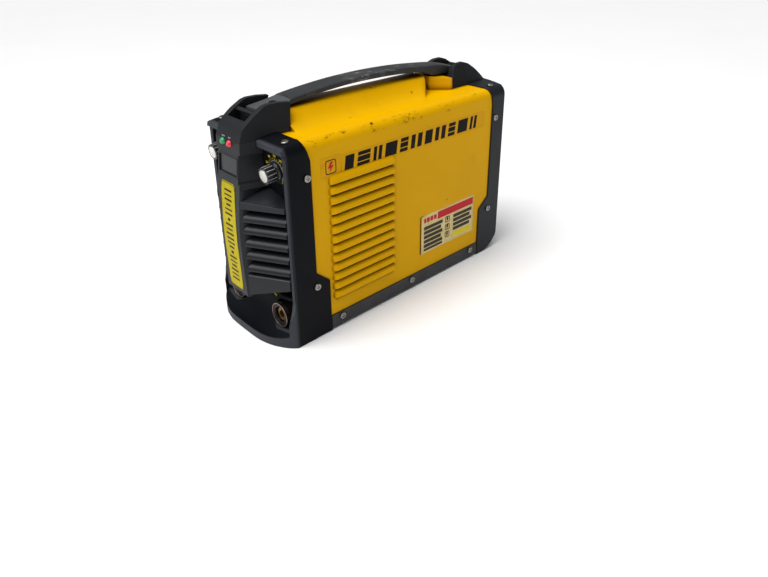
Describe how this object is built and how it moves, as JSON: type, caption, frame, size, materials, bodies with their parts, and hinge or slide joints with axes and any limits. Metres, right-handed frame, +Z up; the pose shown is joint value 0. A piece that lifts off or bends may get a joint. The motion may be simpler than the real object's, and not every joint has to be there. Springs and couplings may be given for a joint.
{
  "type": "stick welding inverter",
  "caption": "Portable stick welding inverter with louvred steel cover, black moulded ends, top carry handle, control knobs, output sockets, rear fan and power switch.",
  "frame": {"origin": "centre of the footprint on the floor, under the middle of the machine's bounding box", "axes": "+X to the machine's right as seen from behind its own front, -Y the control face, +Y the rear panel, +Z up"},
  "size_m": [0.1564, 0.433, 0.284],
  "materials": {
    "black_moulding": "textured satin black moulding",
    "grip": "satin black moulding, rubbed",
    "yellow_paint": "semi-gloss yellow powder coat",
    "black_paint": "black powder coat",
    "black_screw": "blackened steel",
    "zinc": "zinc plated",
    "display": "smoked window",
    "dark_part": "black plastic",
    "board": "green circuit board",
    "led_green": "green lens",
    "led_red": "red lens",
    "yellow_label": "yellow printed film",
    "sticker": "printed film",
    "knob_black": "fluted black knob",
    "cap_silver": "satin silver cap",
    "steel": "bright steel",
    "dial_print": "printed dial",
    "socket_black": "black insulating plastic",
    "socket_ring": "copper coloured ring",
    "brass": "turned brass",
    "aluminium": "extruded aluminium",
    "ferrite": "sintered ferrite",
    "copper": "enamelled copper"
  },
  "bodies": {
    "case": {"base_pan": "black_paint", "base_screws": "zinc", "board_standoffs": "steel", "bus_bars": "copper", "capacitors": "aluminium", "control_board": "board", "cover": "yellow_paint", "display_board": "board", "display_module": "dark_part", "display_window": "display", "earth_bolt": "steel", "earth_hardware": "zinc", "fan_frame": "dark_part", "fan_grille": "steel", "fan_nuts": "zinc", "fan_screws": "zinc", "front_bezel": "black_moulding", "front_spine": "black_moulding", "gland_body": "dark_part", "gland_dome": "dark_part", "gland_nut": "zinc", "grille_left": "black_moulding", "grille_right": "black_moulding", "handle_bar": "grip", "handle_screws": "black_screw", "handle_spacers": "zinc", "heatsink_left": "aluminium", "heatsink_right": "aluminium", "knob_dials": "dial_print", "led_green": "led_green", "led_red": "led_red", "output_choke": "copper", "potentiometers": "steel", "power_board": "board", "rating_plate": "sticker", "rear_bezel": "black_moulding", "rear_bracket": "black_moulding", "rectifier_and_relay": "dark_part", "side_badges": "sticker", "side_screws": "zinc", "side_sticker": "sticker", "socket_contacts": "brass", "socket_nuts": "brass", "socket_rings": "socket_ring", "socket_shells": "socket_black", "spine_label": "yellow_label", "switch_body": "dark_part", "top_screws": "zinc", "transformer_core": "ferrite", "transformer_winding": "copper", "transistors": "dark_part"},
    "knob_right": {"knob_right": "knob_black", "knob_cap_right": "cap_silver", "knob_shaft_right": "steel"},
    "knob_left": {"knob_left": "knob_black", "knob_cap_left": "cap_silver", "knob_shaft_left": "steel"},
    "fan": {"fan_rotor": "dark_part"},
    "power_switch": {"switch_rocker": "dark_part"}
  },
  "joints": [
    {"name": "knob_right_turn", "type": "hinge", "parent": "case", "child": "knob_right", "pos_m": [0.052, -0.1815, 0.214], "axis": [0, -0.9945, -0.1045], "range_deg": [-150, 150]},
    {"name": "knob_left_turn", "type": "hinge", "parent": "case", "child": "knob_left", "pos_m": [-0.052, -0.1815, 0.214], "axis": [0, -0.9945, -0.1045], "range_deg": [-150, 150]},
    {"name": "fan_spin", "type": "hinge", "parent": "case", "child": "fan", "pos_m": [0, 0.14, 0.118], "axis": [0, 1, 0], "continuous": true},
    {"name": "power_switch_rock", "type": "hinge", "parent": "case", "child": "power_switch", "pos_m": [-0.038, 0.1665, 0.211], "axis": [1, 0, 0], "range_deg": [0, 14]}
  ]
}
